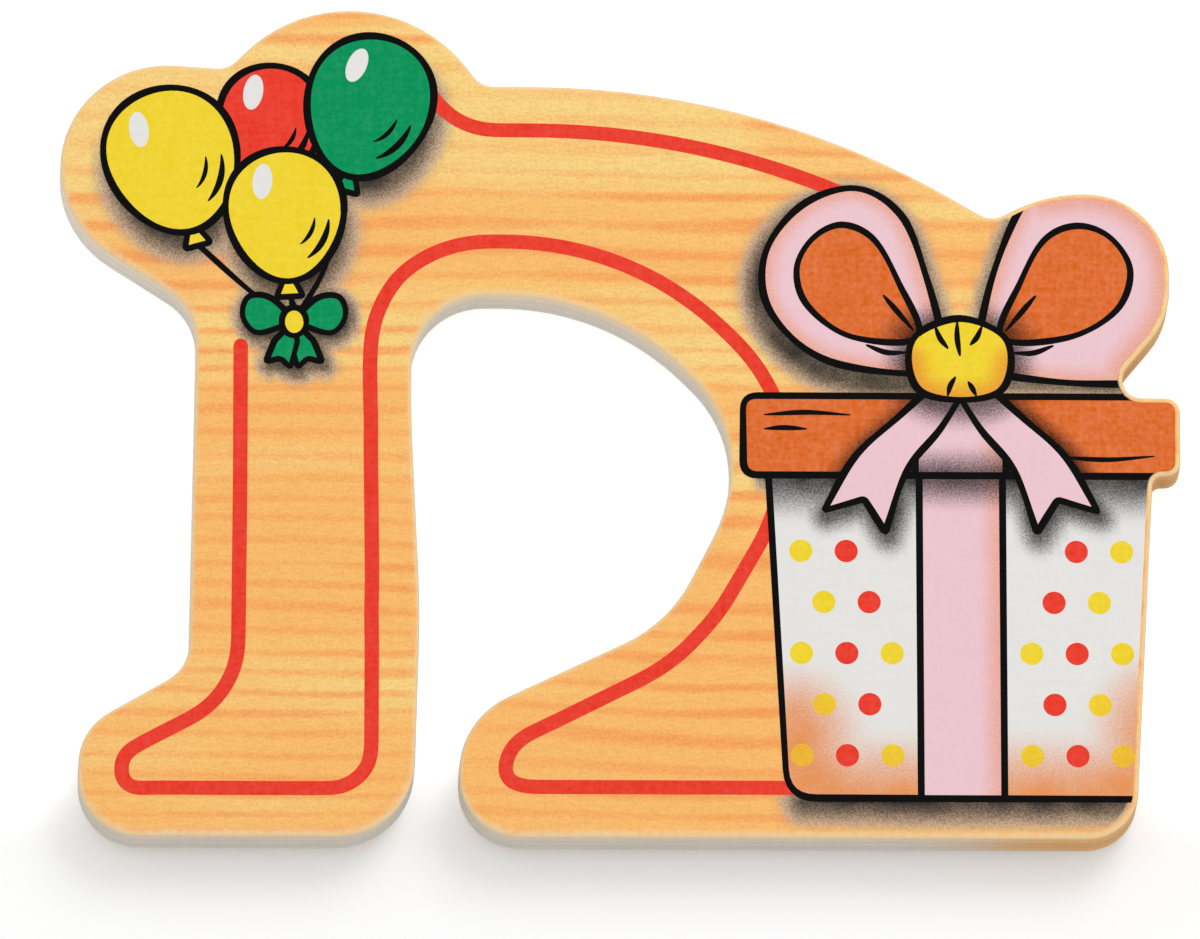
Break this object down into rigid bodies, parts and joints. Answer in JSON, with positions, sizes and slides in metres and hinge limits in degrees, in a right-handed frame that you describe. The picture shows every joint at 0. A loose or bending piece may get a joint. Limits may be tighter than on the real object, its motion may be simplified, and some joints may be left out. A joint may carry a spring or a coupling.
{
  "type": "wooden letter",
  "caption": "Flat die-cut plywood letter with round lobes at its top left and a parcel-shaped end at its right, printed on its face and stuck up by foam pads on its back.",
  "frame": {"origin": "under the middle of the outline, on the plane of the release papers that the letter lies on", "axes": "+X to the letter's right, +Y to the letter's top, +Z out of the printed face"},
  "size_m": [0.0914, 0.0698, 0.0052],
  "materials": {
    "stained_face": "warm orange-yellow stained veneer, printed in flat inks, satin varnish, sanded pale edge",
    "cross_grain": "bare cut edge of the middle ply, end grain showing",
    "bare_back": "bare pale veneer, sanded",
    "foam": "white closed-cell foam with a tacky skin",
    "waxed_paper": "smooth silicone-coated tan paper"
  },
  "bodies": {
    "root": {"front_ply": "stained_face", "core_ply": "cross_grain", "back_ply": "bare_back", "foam_pad_lobe": "foam", "foam_pad_foot": "foam", "foam_pad_bow": "foam", "foam_pad_box": "foam", "release_paper_lobe": "waxed_paper", "release_paper_foot": "waxed_paper", "release_paper_bow": "waxed_paper", "release_paper_box": "waxed_paper"}
  },
  "joints": []
}
